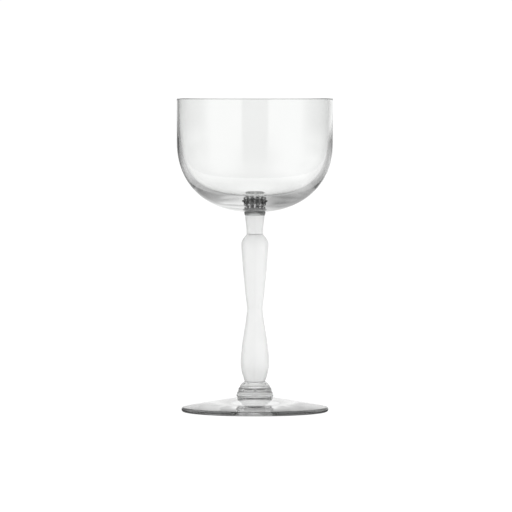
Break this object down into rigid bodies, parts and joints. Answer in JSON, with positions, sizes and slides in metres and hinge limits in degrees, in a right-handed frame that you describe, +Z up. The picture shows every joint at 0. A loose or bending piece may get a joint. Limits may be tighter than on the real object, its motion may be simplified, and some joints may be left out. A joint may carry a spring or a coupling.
{
  "type": "nick and nora glass",
  "caption": "Stemmed cocktail glass with an upright-walled round-bottomed bowl, a panelled baluster stem, a knop with a ring, and a domed round foot.",
  "frame": {"origin": "middle of the foot's underside, on the plane the glass stands on", "axes": "+Z up along the glass's axis, from the foot to the rim; a ridge of the panelled stem faces -Y"},
  "size_m": [0.0748, 0.0748, 0.15],
  "materials": {
    "clear_glass": "fire-polished clear glass, near colourless with a faint warm grey in the thick parts",
    "collar_glass": "fire-polished grey smoked glass, which makes the dark block under the bowl",
    "stem_glass": "pressed and panelled glass, pale and soft, low contrast"
  },
  "bodies": {
    "root": {"bowl": "clear_glass", "bowl_collar": "collar_glass", "stem_neck": "stem_glass", "stem_baluster": "stem_glass", "foot_knop": "clear_glass", "knop_ring": "clear_glass", "foot": "clear_glass"}
  },
  "joints": []
}
